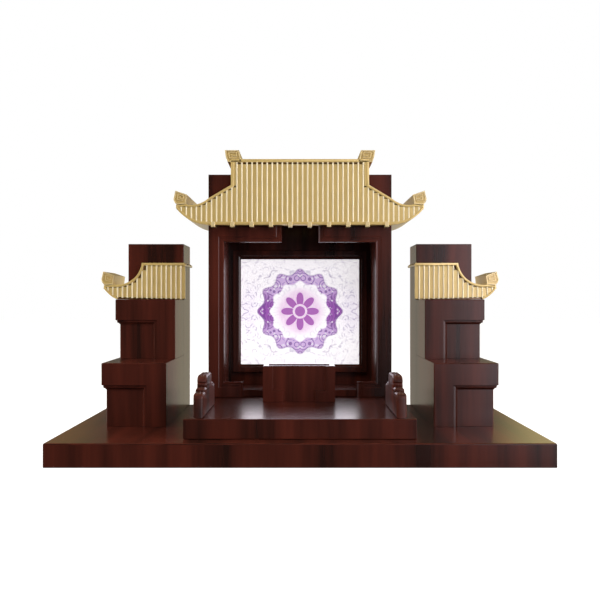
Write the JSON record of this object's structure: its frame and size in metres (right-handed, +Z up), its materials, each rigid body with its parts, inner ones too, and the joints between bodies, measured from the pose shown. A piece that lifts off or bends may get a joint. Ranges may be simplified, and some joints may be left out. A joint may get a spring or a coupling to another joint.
{
  "type": "household altar cabinet",
  "caption": "Rosewood household altar: a gated niche with a framed picture, offering table and rails, between stepped towers under gilt fluted roofs with upturned corners, on a wide plinth.",
  "frame": {"origin": "on the floor, under the middle of the plinth", "axes": "+Z up; the front, with the niche's opening, faces -Y; +X to the right as seen from the front"},
  "size_m": [0.9, 0.59, 0.6195],
  "materials": {
    "rosewood": "dark red-brown rosewood under a high-gloss lacquer",
    "gilt": "carved wood under satin gold leaf",
    "picture": "matte print in purples on white"
  },
  "bodies": {
    "root": {"plinth": "rosewood", "platform": "rosewood", "gate_portal": "rosewood", "gate_side_right": "rosewood", "gate_side_left": "rosewood", "gate_top": "rosewood", "gate_floor": "rosewood", "gate_back": "rosewood", "picture_frame": "rosewood", "picture_panel": "picture", "offering_table": "rosewood", "rail_right": "rosewood", "rail_left": "rosewood", "tower_pier_right": "rosewood", "tower_pier_left": "rosewood", "lower_block_right": "rosewood", "lower_block_left": "rosewood", "upper_block_right": "rosewood", "upper_block_left": "rosewood", "side_roof_right": "gilt", "side_roof_left": "gilt", "main_roof": "gilt", "rafter_end_1": "gilt", "rafter_end_2": "gilt", "rafter_end_3": "gilt", "rafter_end_4": "gilt", "rafter_end_5": "gilt", "rafter_end_6": "gilt", "rafter_end_7": "gilt", "rafter_end_8": "gilt", "rafter_end_9": "gilt", "rafter_end_10": "gilt"}
  },
  "joints": []
}
